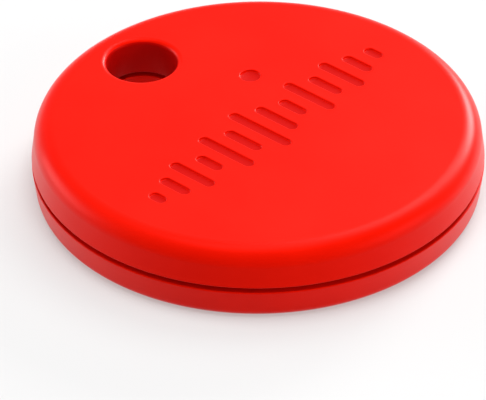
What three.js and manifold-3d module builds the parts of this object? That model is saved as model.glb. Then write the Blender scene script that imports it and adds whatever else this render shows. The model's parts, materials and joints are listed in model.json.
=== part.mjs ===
// Bluetooth tracker tag: a 37.9 mm disc that snaps together from two plastic shells round a coin cell.
// Units are millimetres. +Z is up through the front face, +Y points at the key-ring hole, and the origin is
// the centre of the rear face. The front shell is pressed towards the rear one to click the switch inside,
// and pulls off straight up, with its seal, to change the coin cell.
import * as THREE from 'three';
import { mergeVertices } from 'three/addons/utils/BufferGeometryUtils.js';
import Module from 'manifold-3d';

const wasm = await Module();
wasm.setup();

// ---- Driving dimensions -------------------------------------------------------------------------------

// Both shells are widest at the seam and narrow away from it by the draft that lets them leave the mould.
const TAG = { radius: 18.95, height: 6.4, draft: 0.22, frontEdge: 1.7, rearEdge: 0.8 };
// The gap between the rear shell's shoulder and the front shell's rim; the cover travels into it when pressed.
const SEAM = { low: 2.65, high: 3.1, bevel: 0.12 };
const WALL = { rear: 0.8, front: 1.0 };
const SKIRT_INNER = 17.9; // inside radius of the front shell's skirt
const SPIGOT = { inner: 16.8, outer: 17.5, top: 4.5 }; // the rear shell's upright ring, inside the skirt
const HOLE = { x: 0, y: 13.1, radius: 3.0, lip: 0.5, tube: 3.6, collarInner: 3.75, collarOuter: 4.4 };

const CELL = { x: 0, y: -3.2, radius: 10, height: 3.2, bottom: 1.55 };
const BOARD = { radius: 16.5, bottom: 2.0, thickness: 0.8, cellHole: 10.4, notch: 4.8 };
const SWITCH = { x: -13.3, y: -0.7, width: 3.6, length: 4.2, height: 1.0, stem: 0.85, stemTop: 4.12 };
const PIEZO = { radius: 11.2, plate: 0.15, ceramicRadius: 8.2, ceramic: 0.1, glue: 0.1 };

const FILM = 0.02; // a glued or resting joint between two parts
const SOLDER = 0.05; // a soldered joint, or the slack of a part that moves

const CEILING = TAG.height - WALL.front;
const BOARD_TOP = BOARD.bottom + BOARD.thickness;
const UNDER_BOARD = BOARD.bottom - SOLDER;
const ON_BOARD = BOARD_TOP + SOLDER;
const CELL_TOP = CELL.bottom + CELL.height;

const FINE = 80; // sides of the large round shells
const MEDIUM = 40; // sides of the hole and the small discs
const COARSE = 20; // sides of pins and stems

const AT_HOLE = { x: HOLE.x, y: HOLE.y, steps: MEDIUM };
const AT_CELL = { x: CELL.x, y: CELL.y, steps: 64 };
const AT_SWITCH = { x: SWITCH.x, y: SWITCH.y, steps: COARSE };

// ---- Materials ------------------------------------------------------------------------------------------

function finish(color, roughness, metalness = 0) {
  return new THREE.MeshStandardMaterial({ color, roughness, metalness });
}

const MATERIALS = {
  shell: finish(0xf22418, 0.5),
  silicone: finish(0x8f1410, 0.75),
  foam: finish(0x2a2a2c, 0.95),
  adhesive: finish(0xe9e6dc, 0.8),
  brass: finish(0xcaa24a, 0.35, 1),
  ceramic: finish(0xd9d6cc, 0.5),
  steel: finish(0xb9bbbd, 0.3, 1),
  nylon: finish(0x1d1d1f, 0.7),
  lithium: finish(0xa9abad, 0.45, 1),
  cathode: finish(0x232325, 0.9),
  gold: finish(0xd8b15a, 0.3, 1),
  nickel: finish(0xc4c4c0, 0.3, 1),
  board: finish(0x14241c, 0.45),
  moulding: finish(0x19191b, 0.55),
  chip: finish(0x1b1b1d, 0.6),
  antenna: finish(0xe8e4da, 0.55),
  ferrite: finish(0x3a3a3d, 0.7),
  passive: finish(0x8a6a48, 0.6),
};

// ---- Solid helpers --------------------------------------------------------------------------------------

// A closed three.js geometry as a manifold-3d solid.
function solid(geometry) {
  const bare = geometry.clone();
  for (const name of Object.keys(bare.attributes)) {
    if (name !== 'position') bare.deleteAttribute(name);
  }
  const merged = mergeVertices(bare, 1e-4);
  return new wasm.Manifold(new wasm.Mesh({
    numProp: 3,
    vertProperties: new Float32Array(merged.attributes.position.array),
    triVerts: new Uint32Array(merged.index.array),
  }));
}

// A manifold-3d solid as a three.js geometry.
function geometryOf(manifold) {
  const mesh = manifold.getMesh();
  const positions = new Float32Array(mesh.numVert * 3);
  for (let i = 0; i < mesh.numVert; i++) {
    positions.set(mesh.vertProperties.subarray(i * mesh.numProp, i * mesh.numProp + 3), i * 3);
  }
  const geometry = new THREE.BufferGeometry();
  geometry.setAttribute('position', new THREE.BufferAttribute(positions, 3));
  geometry.setIndex(new THREE.BufferAttribute(new Uint32Array(mesh.triVerts), 1));
  geometry.computeVertexNormals();
  return geometry;
}

// A body of revolution about the upright line at (x, y), from [radius, z] points in anticlockwise order.
function turned(profile, { x = 0, y = 0, steps = FINE } = {}) {
  const geometry = new THREE.LatheGeometry(profile.map(([r, z]) => new THREE.Vector2(r, z)), steps);
  geometry.rotateX(Math.PI / 2);
  geometry.translate(x, y, 0);
  return solid(geometry);
}

function disc(radius, low, high, place) {
  return turned([[0, low], [radius, low], [radius, high], [0, high]], place);
}

function ring(inner, outer, low, high, place) {
  return turned([[inner, low], [outer, low], [outer, high], [inner, high], [inner, low]], place);
}

// Points of an arc about (r, z), between two angles in degrees, for a turned profile.
function arc(r, z, radius, from, to, steps) {
  const points = [];
  for (let i = 0; i <= steps; i++) {
    const angle = THREE.MathUtils.degToRad(from + ((to - from) * i) / steps);
    points.push([r + radius * Math.cos(angle), z + radius * Math.sin(angle)]);
  }
  return points;
}

// A block centred on (x, y), between two heights.
function block(width, depth, low, high, x = 0, y = 0) {
  const geometry = new THREE.BoxGeometry(width, depth, high - low);
  geometry.translate(x, y, (low + high) / 2);
  return solid(geometry);
}

// An upright prism with rounded corners, centred on the origin.
function roundedBlock(width, depth, corner, low, high) {
  const [w, d, r] = [width / 2, depth / 2, corner];
  const shape = new THREE.Shape();
  shape.moveTo(w, -d + r);
  shape.absarc(w - r, d - r, r, 0, Math.PI / 2, false);
  shape.absarc(-w + r, d - r, r, Math.PI / 2, Math.PI, false);
  shape.absarc(-w + r, -d + r, r, Math.PI, 1.5 * Math.PI, false);
  shape.absarc(w - r, -d + r, r, 1.5 * Math.PI, 2 * Math.PI, false);
  const depthOnly = { depth: high - low, bevelEnabled: false, curveSegments: 4 };
  const geometry = new THREE.ExtrudeGeometry(shape, depthOnly);
  geometry.translate(0, 0, low);
  return solid(geometry);
}

// A bent strip of sheet metal along +X: its middle line is a path of [x, z] points.
function strip(path, thickness, width) {
  const upper = path.map(([x, z]) => new THREE.Vector2(x, z + thickness / 2));
  const lower = path.map(([x, z]) => new THREE.Vector2(x, z - thickness / 2)).reverse();
  const outline = new THREE.Shape([...lower, ...upper]);
  const geometry = new THREE.ExtrudeGeometry(outline, { depth: width, bevelEnabled: false });
  geometry.translate(0, 0, -width / 2);
  geometry.rotateX(Math.PI / 2);
  return solid(geometry);
}

// A solid turned about Z by an angle in degrees and then moved to (x, y).
function placed(manifold, x, y, angle = 0) {
  return manifold.rotate([0, 0, angle]).translate([x, y, 0]);
}

// A point on a circle about (x, y), at a bearing in degrees.
function polar(radius, bearing, x = 0, y = 0) {
  const a = THREE.MathUtils.degToRad(bearing);
  return [x + radius * Math.cos(a), y + radius * Math.sin(a)];
}

const group = new THREE.Group();

function add(name, manifold, material) {
  const mesh = new THREE.Mesh(geometryOf(manifold), material);
  mesh.name = name;
  group.add(mesh);
}

// ---- The two shells -------------------------------------------------------------------------------------

// Snap ridges: the skirt's ridge sits below the spigot's, so the cover has to spring over it to come off.
const SNAP = { skirtReach: 0.14, spigotReach: 0.22, skirtLow: 3.3, spigotLow: 3.72, height: 0.25, ramp: 0.08 };

// The mark on the front face: a row of sound-level bars and a dot, all sunk by the same depth.
const MARK = { depth: 0.18, barWidth: 0.95, pitch: 2.1, y: -1.15, dotX: 4.3, dotY: 4.6, dotRadius: 0.87 };
const BAR_LENGTHS = [1.6, 3.0, 4.6, 2.6, 5.8, 3.8, 6.6, 4.4, 2.8, 5.4, 3.4, 4.8, 3.0, 1.8];

function frontMark() {
  const floor = TAG.height - MARK.depth;
  const above = TAG.height + 0.5;
  let mark = disc(MARK.dotRadius, floor, above, { x: MARK.dotX, y: MARK.dotY, steps: COARSE });
  BAR_LENGTHS.forEach((length, i) => {
    const x = (i - (BAR_LENGTHS.length - 1) / 2) * MARK.pitch;
    const bar = roundedBlock(MARK.barWidth, length, MARK.barWidth / 2 - 0.001, floor, above);
    mark = mark.add(placed(bar, x, MARK.y));
  });
  return mark;
}

// A post under the front wall that pushes on the switch's stem.
const PRESS_BOSS = { radius: 1.0, tip: 0.8, taper: 0.2 };

function pressBoss() {
  const low = SWITCH.stemTop + SOLDER;
  const { radius, tip, taper } = PRESS_BOSS;
  const root = CEILING + WALL.front / 2;
  return turned([[0, low], [tip, low], [radius, low + taper], [radius, root], [0, root]], AT_SWITCH);
}

const PAD = { radius: 6.5, thickness: 0.33 };
const PAD_RIB = { thickness: 0.6, length: 3.4, depth: 0.35, count: 3 };

// A low rib beside the battery pad, at a bearing from the middle of the cell.
function padRib(bearing) {
  const [x, y] = polar(PAD.radius + PAD_RIB.thickness, bearing, CELL.x, CELL.y);
  const rib = block(PAD_RIB.thickness, PAD_RIB.length, CEILING - PAD_RIB.depth, CEILING + WALL.front / 2);
  return placed(rib, x, y, bearing);
}

function frontCover() {
  const { radius, height, draft, frontEdge } = TAG;
  const outside = turned([
    [0, SEAM.high],
    [radius - SEAM.bevel, SEAM.high],
    [radius, SEAM.high + SEAM.bevel],
    ...arc(radius - draft - frontEdge, height - frontEdge, frontEdge, 0, 90, 6),
    [0, height],
  ]);
  const corner = 0.4;
  const ridge = SKIRT_INNER - SNAP.skirtReach;
  const cavity = turned([
    [0, SEAM.high - 1],
    [SKIRT_INNER, SEAM.high - 1],
    [SKIRT_INNER, SNAP.skirtLow],
    [ridge, SNAP.skirtLow + SNAP.ramp],
    [ridge, SNAP.skirtLow + SNAP.height - SNAP.ramp],
    [SKIRT_INNER, SNAP.skirtLow + SNAP.height],
    [SKIRT_INNER, CEILING - corner],
    [SKIRT_INNER - corner, CEILING],
    [0, CEILING],
  ]);
  const tube = disc(HOLE.tube, SEAM.high, CEILING + WALL.front / 2, AT_HOLE);
  const bore = turned([
    [0, SEAM.high - 1],
    [HOLE.radius, SEAM.high - 1],
    ...arc(HOLE.radius + HOLE.lip, height - HOLE.lip, HOLE.lip, 180, 90, 4),
    [HOLE.radius + HOLE.lip, height + 1],
    [0, height + 1],
  ], AT_HOLE);
  let shell = outside.subtract(cavity.subtract(tube)).add(pressBoss());
  for (let i = 0; i < PAD_RIB.count; i++) shell = shell.add(padRib(30 + (360 * i) / PAD_RIB.count));
  return shell.subtract(bore).subtract(frontMark());
}

const LEDGE_INNER = SPIGOT.inner - 0.9; // the board's rim rests on this ledge
const POSTS = [[14.0, 4.6], [-14.0, 4.6], [13.6, -6.2], [-13.6, -6.2]];
const POST = { radius: 1.0, pin: 0.55, head: 0.95, headHeight: 0.35, boardHole: 0.7 };

// A post that carries the board: its pin goes through, and its end is melted into a flat head.
function post(x, y) {
  const head = BOARD_TOP + SOLDER;
  return turned([
    [0, WALL.rear / 2],
    [POST.radius, WALL.rear / 2],
    [POST.radius, UNDER_BOARD],
    [POST.pin, UNDER_BOARD],
    [POST.pin, head],
    [POST.head, head],
    [POST.head * 0.85, head + POST.headHeight * 0.7],
    [POST.head * 0.45, head + POST.headHeight],
    [0, head + POST.headHeight],
  ], { x, y, steps: COARSE });
}

const SOUNDER_RIB = { thickness: 0.7, length: 3.0, gap: 0.55, headroom: 0.1 };

// An upright rib that centres the sounder's plate, at a bearing from the middle of the cell.
function sounderRib(bearing) {
  const { thickness, length, gap, headroom } = SOUNDER_RIB;
  const [x, y] = polar(PIEZO.radius + gap + thickness / 2, bearing, CELL.x, CELL.y);
  return placed(block(thickness, length, WALL.rear / 2, UNDER_BOARD - headroom), x, y, bearing);
}

function rearCover() {
  const { radius, draft, rearEdge } = TAG;
  const ridge = SPIGOT.outer + SNAP.spigotReach;
  const outside = turned([
    [0, 0],
    ...arc(radius - draft - rearEdge, rearEdge, rearEdge, 270, 360, 5),
    [radius, SEAM.low - SEAM.bevel],
    [radius - SEAM.bevel, SEAM.low],
    [SPIGOT.outer, SEAM.low],
    [SPIGOT.outer, SNAP.spigotLow],
    [ridge, SNAP.spigotLow + SNAP.ramp],
    [ridge, SNAP.spigotLow + SNAP.height - SNAP.ramp],
    [SPIGOT.outer, SNAP.spigotLow + SNAP.height + SNAP.ramp],
    [SPIGOT.outer, SPIGOT.top],
    [0, SPIGOT.top],
  ]);
  const inside = turned([
    [0, WALL.rear],
    [LEDGE_INNER, WALL.rear],
    [LEDGE_INNER, UNDER_BOARD],
    [SPIGOT.inner, UNDER_BOARD],
    [SPIGOT.inner, SPIGOT.top + 1],
    [0, SPIGOT.top + 1],
  ]);
  const boss = disc(HOLE.collarOuter, WALL.rear / 2, SPIGOT.top, AT_HOLE);
  const collarBore = disc(HOLE.collarInner, SEAM.low, SPIGOT.top + 1, AT_HOLE);
  const bore = turned([
    [0, -1],
    [HOLE.radius + HOLE.lip, -1],
    ...arc(HOLE.radius + HOLE.lip, HOLE.lip, HOLE.lip, 270, 180, 4),
    [HOLE.radius, SEAM.low + 1],
    [0, SEAM.low + 1],
  ], AT_HOLE);
  let shell = outside.subtract(inside).add(boss).subtract(collarBore);
  for (const [x, y] of POSTS) shell = shell.add(post(x, y));
  for (const bearing of [225, 315]) shell = shell.add(sounderRib(bearing));
  return shell.subtract(bore);
}

// ---- Seal and foam --------------------------------------------------------------------------------------

// One silicone moulding seals the rim and the key-ring hole, and pushes the front shell back up.
function rimGasket() {
  const low = SPIGOT.top + SOLDER;
  const high = CEILING - SOLDER;
  const taper = 0.15;
  const lip = (inner, outer) => [
    [inner, low], [outer, low], [outer - taper, high], [inner + taper, high], [inner, low],
  ];
  const rim = turned(lip(SPIGOT.inner + SOLDER, SPIGOT.outer - SOLDER));
  const eyelet = turned(lip(HOLE.collarInner + SOLDER, HOLE.collarOuter - SOLDER), AT_HOLE);
  return rim.add(eyelet);
}

function batteryPad() {
  const high = CEILING - FILM;
  return disc(PAD.radius, high - PAD.thickness, high, AT_CELL);
}

// ---- Sounder --------------------------------------------------------------------------------------------

const GLUE_LOW = WALL.rear + FILM;
const PLATE_LOW = GLUE_LOW + PIEZO.glue + FILM;
const PLATE_TOP = PLATE_LOW + PIEZO.plate;
const CERAMIC_TOP = PLATE_TOP + FILM + PIEZO.ceramic;
const GLUE_WIDTH = 1.2;

// A gold-plated finger soldered under the board. It bends down and in until its tip rests at a height.
function sounderFinger(bearing, tip, rest) {
  const [thickness, width] = [0.12, 1.2];
  const foot = { outer: 12.6, inner: 10.8, z: UNDER_BOARD - thickness / 2 };
  const knee = { at: 10.1, z: 1.42 };
  const touch = rest + FILM + thickness / 2;
  const path = [
    [tip - 0.6, touch + 0.14],
    [tip - 0.1, touch],
    [tip + 0.3, touch],
    [knee.at, knee.z],
    [foot.inner, foot.z],
    [foot.outer, foot.z],
  ];
  return placed(strip(path, thickness, width), CELL.x, CELL.y, bearing);
}

// ---- Coin cell ------------------------------------------------------------------------------------------

const CAN = { wall: 0.25, edge: 0.35, crimp: 9.15 };
const CAP = { radius: 8.7, wall: 0.2, edge: 0.25, height: 1.4 };
const SEAL = { inner: 8.76, outer: 9.08, height: 2.1 };
const CORE = { radius: 8.0, lithium: 0.6 };

// The positive can: a flat cup, open downwards, with its edge crimped in round the seal.
function coinCellCan() {
  const { radius, bottom } = CELL;
  const inner = radius - CAN.wall;
  return turned([
    [CAN.crimp, bottom + 0.12],
    [CAN.crimp + 0.4, bottom + 0.12],
    [radius - 0.15, bottom + 0.32],
    [radius, bottom + 0.6],
    ...arc(radius - CAN.edge, CELL_TOP - CAN.edge, CAN.edge, 0, 90, 4),
    [0, CELL_TOP],
    [0, CELL_TOP - CAN.wall],
    [inner - 0.2, CELL_TOP - CAN.wall],
    [inner, CELL_TOP - CAN.wall - 0.2],
    [inner, bottom + 0.65],
    [CAN.crimp + 0.35, bottom + 0.34],
    [CAN.crimp, bottom + 0.34],
    [CAN.crimp, bottom + 0.12],
  ], AT_CELL);
}

// The negative cap: a smaller cup, open upwards inside the can.
function coinCellCap() {
  const { radius, wall, edge, height } = CAP;
  const low = CELL.bottom;
  return turned([
    [0, low],
    ...arc(radius - edge, low + edge, edge, 270, 360, 3),
    [radius, low + height],
    [radius - wall, low + height],
    [radius - wall, low + wall],
    [0, low + wall],
  ], AT_CELL);
}

function coinCellSeal() {
  const low = CELL.bottom + 0.1;
  return ring(SEAL.inner, SEAL.outer, low, low + SEAL.height, AT_CELL);
}

const LITHIUM_LOW = CELL.bottom + CAP.wall + SOLDER;
const LITHIUM_TOP = LITHIUM_LOW + CORE.lithium;
const CATHODE_LOW = LITHIUM_TOP + SOLDER;
const CATHODE_TOP = CELL_TOP - CAN.wall - SOLDER;

// ---- Circuit board and its battery springs --------------------------------------------------------------

function circuitBoard() {
  const [low, high] = [BOARD.bottom - 1, BOARD_TOP + 1];
  let board = disc(BOARD.radius, BOARD.bottom, BOARD_TOP)
    .subtract(disc(BOARD.cellHole, low, high, AT_CELL))
    .subtract(disc(BOARD.notch, low, high, AT_HOLE));
  for (const [x, y] of POSTS) board = board.subtract(disc(POST.boardHole, low, high, { x, y, steps: COARSE }));
  return board;
}

// A side spring: a foot on the board, an upright wall, and an arm that leans in to the can's side.
function positiveContact(bearing) {
  const thickness = 0.15;
  const wallAt = CELL.radius + 0.83;
  const foot = block(2.0, 2.8, ON_BOARD, ON_BOARD + thickness, wallAt + 0.92, 0);
  const wall = block(thickness, 2.4, ON_BOARD, ON_BOARD + 1.35, wallAt, 0);
  const arm = strip([
    [CELL.radius + SOLDER, ON_BOARD + 0.95],
    [CELL.radius + 0.25, ON_BOARD + 1.2],
    [CELL.radius + 0.55, ON_BOARD + 1.35],
    [wallAt + 0.02, ON_BOARD + 1.3],
  ], thickness, 1.2);
  return placed(foot.add(wall).add(arm), CELL.x, CELL.y, bearing);
}

// A leaf under the cell: soldered under the board at one edge, with two raised fingers that touch the cap.
function negativeContact() {
  const thickness = 0.15;
  const foot = UNDER_BOARD - thickness / 2;
  const flat = CELL.bottom - 0.2;
  const crest = CELL.bottom - SOLDER - thickness / 2;
  const leaf = strip([[-12.4, foot], [-10.7, foot], [-9.6, flat], [-3.0, flat]], thickness, 5.0);
  const window = block(3.4, 2.0, flat - 1, flat + 1, -5.6, 0);
  const finger = strip([[-3.2, flat], [-1.2, flat], [1.2, crest], [2.0, crest], [2.8, flat]], thickness, 1.3);
  const spread = 1.4;
  const contact = leaf.subtract(window).add(placed(finger, 0, spread)).add(placed(finger, 0, -spread));
  return placed(contact, CELL.x, CELL.y, 90);
}

// ---- Parts on the board ---------------------------------------------------------------------------------

// A chip or crystal: a block with a small step round its top edge.
function chipBody(width, depth, height, step) {
  const base = block(width, depth, ON_BOARD, ON_BOARD + height - step);
  const top = block(width - 2 * step, depth - 2 * step, ON_BOARD, ON_BOARD + height);
  return base.add(top);
}

// A ceramic part lying along X, with a slightly larger metal cap at each end.
function endCapped(length, width, height, cap) {
  const end = (length - cap) / 2;
  return block(length - 0.1, width - 0.08, ON_BOARD, ON_BOARD + height - 0.04)
    .add(block(cap, width, ON_BOARD, ON_BOARD + height, -end, 0))
    .add(block(cap, width, ON_BOARD, ON_BOARD + height, end, 0));
}

const TRAY_TOP = ON_BOARD + SWITCH.height - 0.12;
const DOME = { radius: 1.25, flat: 0.9, height: 0.1 };

// The switch: a moulded tray with solder feet, a metal dome, a retaining plate, and a stem that moves.
function switchBase() {
  const { width, length } = SWITCH;
  const floor = ON_BOARD + 0.15;
  const footAt = length / 2 - 0.8;
  const tray = block(width, length, ON_BOARD, TRAY_TOP);
  const well = block(width - 0.7, length - 0.9, floor, TRAY_TOP + 1);
  const foot = block(width + 1.2, 0.8, ON_BOARD, floor - 0.01);
  const feet = placed(foot, 0, footAt).add(placed(foot, 0, -footAt));
  return placed(tray.subtract(well).add(feet), SWITCH.x, SWITCH.y);
}

function switchDome() {
  const low = ON_BOARD + 0.15 + FILM;
  const { radius, flat, height } = DOME;
  return turned([[0, low], [radius, low], [flat, low + 0.8 * height], [0, low + height]], AT_SWITCH);
}

function switchPlate() {
  const low = TRAY_TOP + FILM;
  const plate = placed(block(SWITCH.width, SWITCH.length, low, low + 0.14), SWITCH.x, SWITCH.y);
  return plate.subtract(disc(SWITCH.stem + 0.08, low - 1, low + 1, AT_SWITCH));
}

function switchPlunger() {
  const { stem, stemTop } = SWITCH;
  const flange = { radius: 1.15, low: 3.4, high: 3.65 };
  return turned([
    [0, flange.low],
    [flange.radius, flange.low],
    [flange.radius, flange.high],
    [stem, flange.high],
    [stem, stemTop - 0.1],
    [stem - 0.1, stemTop],
    [0, stemTop],
  ], AT_SWITCH);
}

const COIL = { x: 13.3, y: -0.6, base: 4.0, core: 1.5, winding: 1.75, flange: 1.9, height: 1.4 };

// The coil of the boost supply: a square base, a winding and a round top flange on one core.
function boostInductor() {
  const at = { x: COIL.x, y: COIL.y, steps: MEDIUM };
  const top = ON_BOARD + COIL.height;
  return placed(roundedBlock(COIL.base, COIL.base, 0.5, ON_BOARD, ON_BOARD + 0.3), COIL.x, COIL.y)
    .add(disc(COIL.core, ON_BOARD + 0.2, top - 0.2, at))
    .add(disc(COIL.winding, ON_BOARD + 0.35, top - 0.45, at))
    .add(disc(COIL.flange, top - 0.4, top, at));
}

// ---- Assembly -------------------------------------------------------------------------------------------

add('rear_cover', rearCover(), MATERIALS.shell);
add('front_cover', frontCover(), MATERIALS.shell);
add('rim_gasket', rimGasket(), MATERIALS.silicone);
add('battery_pad', batteryPad(), MATERIALS.foam);

const glue = ring(PIEZO.radius - GLUE_WIDTH, PIEZO.radius, GLUE_LOW, GLUE_LOW + PIEZO.glue, AT_CELL);
add('piezo_adhesive_ring', glue, MATERIALS.adhesive);
add('piezo_plate', disc(PIEZO.radius, PLATE_LOW, PLATE_TOP, AT_CELL), MATERIALS.brass);
add('piezo_ceramic', disc(PIEZO.ceramicRadius, PLATE_TOP + FILM, CERAMIC_TOP, AT_CELL), MATERIALS.ceramic);
add('piezo_contact_plate', sounderFinger(150, 9.3, PLATE_TOP), MATERIALS.gold);
add('piezo_contact_ceramic', sounderFinger(30, 7.2, CERAMIC_TOP), MATERIALS.gold);

add('coin_cell_can', coinCellCan(), MATERIALS.steel);
add('coin_cell_seal', coinCellSeal(), MATERIALS.nylon);
add('coin_cell_cap', coinCellCap(), MATERIALS.steel);
add('coin_cell_lithium', disc(CORE.radius, LITHIUM_LOW, LITHIUM_TOP, AT_CELL), MATERIALS.lithium);
add('coin_cell_cathode', disc(CORE.radius, CATHODE_LOW, CATHODE_TOP, AT_CELL), MATERIALS.cathode);

add('circuit_board', circuitBoard(), MATERIALS.board);
add('battery_contact_positive_left', positiveContact(230), MATERIALS.nickel);
add('battery_contact_positive_right', positiveContact(310), MATERIALS.nickel);
add('battery_contact_negative', negativeContact(), MATERIALS.nickel);

add('switch_base', switchBase(), MATERIALS.moulding);
add('switch_dome', switchDome(), MATERIALS.steel);
add('switch_plate', switchPlate(), MATERIALS.steel);
add('switch_plunger', switchPlunger(), MATERIALS.moulding);
add('boost_inductor', boostInductor(), MATERIALS.ferrite);

// A part that faces out along its bearing from the middle of the tag.
function addFacingOut(name, body, radius, bearing, turn, material) {
  add(name, placed(body, ...polar(radius, bearing), bearing + turn), material);
}

addFacingOut('bluetooth_chip', chipBody(5, 5, 0.85, 0.12), 12.6, 42, 0, MATERIALS.chip);
addFacingOut('piezo_driver_chip', chipBody(2.6, 2.6, 0.8, 0.1), 14.2, -139, 0, MATERIALS.chip);
addFacingOut('crystal_main', chipBody(2.0, 1.6, 0.55, 0.08), 14.9, 62.5, 0, MATERIALS.nickel);
addFacingOut('crystal_sleep', chipBody(1.5, 3.2, 0.75, 0.1), 14.6, -40, 0, MATERIALS.nickel);
addFacingOut('chip_antenna', endCapped(7.0, 2.0, 0.8, 0.6), 14.6, 137, 90, MATERIALS.antenna);

const SMALL = { length: 1.2, width: 0.7, pitch: 1.2 };
const KINDS = {
  capacitor: { height: 0.6, cap: 0.3, count: 0 },
  resistor: { height: 0.4, cap: 0.25, count: 0 },
};

// A row of small parts side by side: its middle is at (x, y) and it runs in a direction given in degrees.
function addRow(kindName, count, x, y, direction) {
  const kind = KINDS[kindName];
  for (let i = 0; i < count; i++) {
    const place = polar((i - (count - 1) / 2) * SMALL.pitch, direction, x, y);
    const body = endCapped(SMALL.length, SMALL.width, kind.height, kind.cap);
    kind.count += 1;
    add(`${kindName}_${kind.count}`, placed(body, ...place, direction + 90), MATERIALS.passive);
  }
}

addRow('capacitor', 4, ...polar(9.2, 42), 132); // supply of the Bluetooth chip
addRow('capacitor', 2, ...polar(10.9, 63), 153); // load of the main crystal
addRow('capacitor', 2, 12.5, 2.55, 0); // output of the boost supply
addRow('resistor', 2, ...polar(11.8, 137), 47); // feed of the antenna
addRow('resistor', 2, 0, -15.1, 0); // divider for the cell voltage

export default group;
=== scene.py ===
# %% [markdown]
# # A tracker tag in two red shells
# The real thing is a 38 mm disc that hangs on a key ring. Two moulded shells snap together round a coin
# cell, a ring-shaped circuit board and a thin metal sounder. The front shell is also the button: it moves
# a quarter of a millimetre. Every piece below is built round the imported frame, so it lands where the
# moving bodies already are, and it rides on one of them by name.

# %% Load the frame
import json
import math

import bmesh
import bpy
from mathutils import Matrix, Vector


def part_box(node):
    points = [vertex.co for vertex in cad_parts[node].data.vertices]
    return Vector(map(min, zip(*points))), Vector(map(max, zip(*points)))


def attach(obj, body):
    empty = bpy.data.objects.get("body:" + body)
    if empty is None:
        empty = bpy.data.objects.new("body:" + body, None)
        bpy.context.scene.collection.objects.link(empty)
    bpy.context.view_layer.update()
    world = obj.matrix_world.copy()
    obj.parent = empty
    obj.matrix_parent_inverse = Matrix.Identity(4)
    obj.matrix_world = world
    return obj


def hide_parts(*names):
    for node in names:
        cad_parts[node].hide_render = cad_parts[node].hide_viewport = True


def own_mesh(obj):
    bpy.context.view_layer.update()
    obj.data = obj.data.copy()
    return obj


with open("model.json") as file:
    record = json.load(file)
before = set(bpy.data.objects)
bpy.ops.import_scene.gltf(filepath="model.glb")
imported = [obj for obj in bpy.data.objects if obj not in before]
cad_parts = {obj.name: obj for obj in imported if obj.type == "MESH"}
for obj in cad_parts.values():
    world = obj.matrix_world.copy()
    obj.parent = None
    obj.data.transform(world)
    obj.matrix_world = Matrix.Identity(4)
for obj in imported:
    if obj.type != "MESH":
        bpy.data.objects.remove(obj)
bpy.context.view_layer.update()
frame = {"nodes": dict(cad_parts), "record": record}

print("pieces in the frame:", len(frame["nodes"]))

# %% [markdown]
# ## Measures
# A maker starts with the few sizes that everything else hangs on. The tag's radius, its two heights at the
# seam and the place of the key-ring hole are read from the frame rather than typed, so the looks can't
# drift away from the working model. All the shaping below is done in millimetres and turned into metres in
# one place.

# %% Read the driving sizes
MM = 0.001


def span(node):
    """The lowest and highest corner of a frame node, in millimetres."""
    low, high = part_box(node)
    return low / MM, high / MM


def heights(node):
    """The height of a frame node's underside and of its top."""
    low, high = span(node)
    return low.z, high.z


def half_width(node):
    low, high = span(node)
    return (high.x - low.x) / 2


def middle(node):
    low, high = span(node)
    return (low + high) / 2


def above(node):
    """The middle of a frame node as seen from above."""
    centre = middle(node)
    return centre.x, centre.y


TAG_RADIUS = span("front_cover")[1].x
SKIRT_RIM, TAG_TOP = heights("front_cover")
SPIGOT_TOP = heights("rear_cover")[1]
BOARD_LOW, BOARD_TOP = heights("circuit_board")
BOARD_RADIUS = span("circuit_board")[1].x
AT_CELL = above("coin_cell_can")
CELL_BOTTOM, CELL_TOP = heights("coin_cell_cap")[0], heights("coin_cell_can")[1]
CELL_RADIUS = half_width("coin_cell_can")
hole_low, hole_high = frame["record"]["physics"]["openings"][0]["box_m"]
HOLE = ((hole_low[0] + hole_high[0]) / 2 / MM, (hole_low[1] + hole_high[1]) / 2 / MM)
HOLE_RADIUS = 3.0
HOLE_STEPS = 96
print(f"tag {2 * TAG_RADIUS:.1f} mm across, {TAG_TOP:.1f} mm thick, hole at y {HOLE[1]:.1f} mm")

# %% [markdown]
# ## Camera
# The tag is seen from above one side, with the key-ring hole far and to the left, through a very long
# lens, which keeps the round outline from bulging towards the viewer. The studio is described from where
# the viewer stands, so one helper turns "right, back, up" into the tag's own directions.

# %% Stand the camera
VIEW_TURN = 48.4  # degrees that the tag is turned on the table, anticlockwise, seen from above
VIEW_HEIGHT = 36.5  # degrees of the line of sight above the table
VIEW_ROLL = -0.575  # degrees that the camera leans
VIEW_DISTANCE = 336.9
LENS = 296.3
FILM_WIDTH = 36


def studio(right, back, up):
    """Turns millimetres as the viewer sees them into a place in the tag's frame, in metres."""
    a = math.radians(VIEW_TURN)
    x = right * math.cos(a) + back * math.sin(a)
    y = -right * math.sin(a) + back * math.cos(a)
    return Vector((x, y, up)) * MM


def aimed(at, to, roll=0.0):
    """The turn that makes a camera or light at one point look at another."""
    look = (to - at).to_track_quat("-Z", "Y")
    return look @ Matrix.Rotation(math.radians(roll), 4, "Z").to_quaternion()


camera_data = bpy.data.cameras.new("camera")
camera_data.lens = LENS
camera_data.sensor_width = FILM_WIDTH
camera = bpy.data.objects.new("camera", camera_data)
bpy.context.scene.collection.objects.link(camera)
aim = studio(-1.30, -0.98, -1.324)
lift = math.radians(VIEW_HEIGHT)
camera.location = aim + studio(0, -VIEW_DISTANCE * math.cos(lift), VIEW_DISTANCE * math.sin(lift))
camera.rotation_mode = "QUATERNION"
camera.rotation_quaternion = aimed(camera.location, aim, VIEW_ROLL)
bpy.context.scene.camera = camera
print(f"camera {VIEW_DISTANCE:.0f} mm away, {VIEW_HEIGHT} degrees up")

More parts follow.
